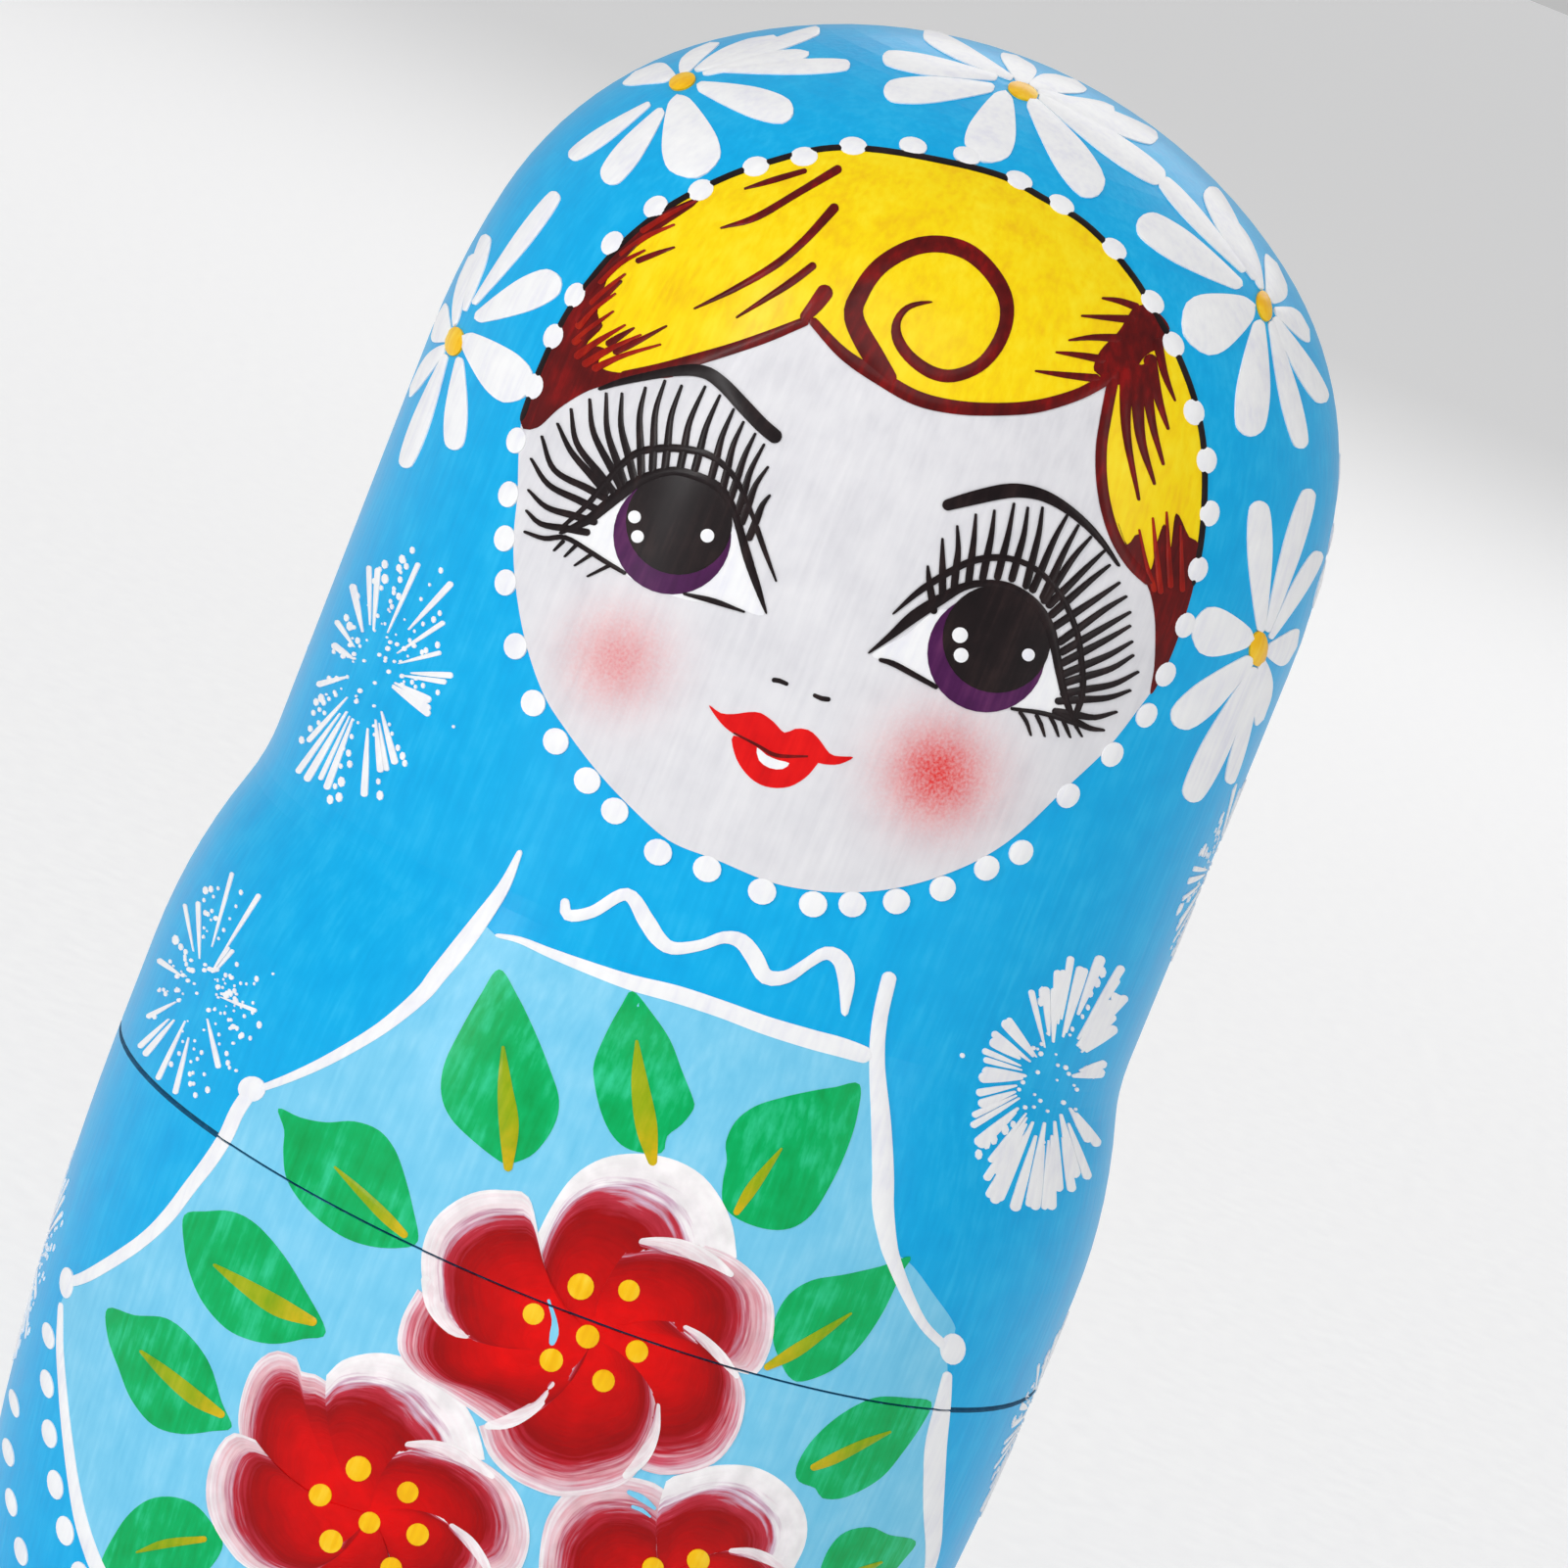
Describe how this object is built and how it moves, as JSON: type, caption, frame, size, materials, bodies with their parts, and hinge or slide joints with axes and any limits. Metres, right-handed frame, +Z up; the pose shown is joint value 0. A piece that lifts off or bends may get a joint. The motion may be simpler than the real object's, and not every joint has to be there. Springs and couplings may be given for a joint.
{
  "type": "matryoshka nesting doll",
  "caption": "Turned wooden nesting doll with painted scarf, face and flowered apron; each hollow doll parts at a neck-and-socket seam and holds a smaller one down to a solid core.",
  "frame": {"origin": "middle of the outer doll's flat base, where it stands", "axes": "+Z up along the turning axis, the painted face looks along -Y"},
  "size_m": [0.105, 0.105, 0.2293],
  "materials": {
    "painted_wood": "satin lacquer over sky-blue paint"
  },
  "bodies": {
    "doll_1_bottom": {"doll_1_bottom": "painted_wood"},
    "doll_2_bottom": {"doll_2_bottom": "painted_wood"},
    "doll_3_bottom": {"doll_3_bottom": "painted_wood"},
    "doll_4_bottom": {"doll_4_bottom": "painted_wood"},
    "doll_5_bottom": {"doll_5_bottom": "painted_wood"},
    "doll_6_bottom": {"doll_6_bottom": "painted_wood"},
    "doll_7_bottom": {"doll_7_bottom": "painted_wood"},
    "doll_8_bottom": {"doll_8_bottom": "painted_wood"},
    "doll_9_bottom": {"doll_9_bottom": "painted_wood"},
    "doll_10_solid": {"doll_10_solid": "painted_wood"},
    "doll_1_top": {"doll_1_top": "painted_wood"},
    "doll_2_top": {"doll_2_top": "painted_wood"},
    "doll_3_top": {"doll_3_top": "painted_wood"},
    "doll_4_top": {"doll_4_top": "painted_wood"},
    "doll_5_top": {"doll_5_top": "painted_wood"},
    "doll_6_top": {"doll_6_top": "painted_wood"},
    "doll_7_top": {"doll_7_top": "painted_wood"},
    "doll_8_top": {"doll_8_top": "painted_wood"},
    "doll_9_top": {"doll_9_top": "painted_wood"}
  },
  "joints": [
    {"name": "doll_2_lift", "type": "slide", "parent": "doll_1_bottom", "child": "doll_2_bottom", "axis": [0, 0, 1], "range_m": [0, 0.105]},
    {"name": "doll_3_lift", "type": "slide", "parent": "doll_2_bottom", "child": "doll_3_bottom", "axis": [0, 0, 1], "range_m": [0, 0.09]},
    {"name": "doll_4_lift", "type": "slide", "parent": "doll_3_bottom", "child": "doll_4_bottom", "axis": [0, 0, 1], "range_m": [0, 0.077]},
    {"name": "doll_5_lift", "type": "slide", "parent": "doll_4_bottom", "child": "doll_5_bottom", "axis": [0, 0, 1], "range_m": [0, 0.065]},
    {"name": "doll_6_lift", "type": "slide", "parent": "doll_5_bottom", "child": "doll_6_bottom", "axis": [0, 0, 1], "range_m": [0, 0.054]},
    {"name": "doll_7_lift", "type": "slide", "parent": "doll_6_bottom", "child": "doll_7_bottom", "axis": [0, 0, 1], "range_m": [0, 0.045]},
    {"name": "doll_8_lift", "type": "slide", "parent": "doll_7_bottom", "child": "doll_8_bottom", "axis": [0, 0, 1], "range_m": [0, 0.036]},
    {"name": "doll_9_lift", "type": "slide", "parent": "doll_8_bottom", "child": "doll_9_bottom", "axis": [0, 0, 1], "range_m": [0, 0.029]},
    {"name": "doll_10_lift", "type": "slide", "parent": "doll_9_bottom", "child": "doll_10_solid", "axis": [0, 0, 1], "range_m": [0, 0.022]},
    {"name": "doll_9_open", "type": "slide", "parent": "doll_10_solid", "child": "doll_9_top", "axis": [0, 0, 1], "range_m": [0, 0.02]},
    {"name": "doll_8_open", "type": "slide", "parent": "doll_9_top", "child": "doll_8_top", "axis": [0, 0, 1], "range_m": [0, 0.027]},
    {"name": "doll_7_open", "type": "slide", "parent": "doll_8_top", "child": "doll_7_top", "axis": [0, 0, 1], "range_m": [0, 0.036]},
    {"name": "doll_6_open", "type": "slide", "parent": "doll_7_top", "child": "doll_6_top", "axis": [0, 0, 1], "range_m": [0, 0.045]},
    {"name": "doll_5_open", "type": "slide", "parent": "doll_6_top", "child": "doll_5_top", "axis": [0, 0, 1], "range_m": [0, 0.056]},
    {"name": "doll_4_open", "type": "slide", "parent": "doll_5_top", "child": "doll_4_top", "axis": [0, 0, 1], "range_m": [0, 0.068]},
    {"name": "doll_3_open", "type": "slide", "parent": "doll_4_top", "child": "doll_3_top", "axis": [0, 0, 1], "range_m": [0, 0.082]},
    {"name": "doll_2_open", "type": "slide", "parent": "doll_3_top", "child": "doll_2_top", "axis": [0, 0, 1], "range_m": [0, 0.097]},
    {"name": "doll_1_open", "type": "slide", "parent": "doll_2_top", "child": "doll_1_top", "axis": [0, 0, 1], "range_m": [0, 0.114]}
  ]
}
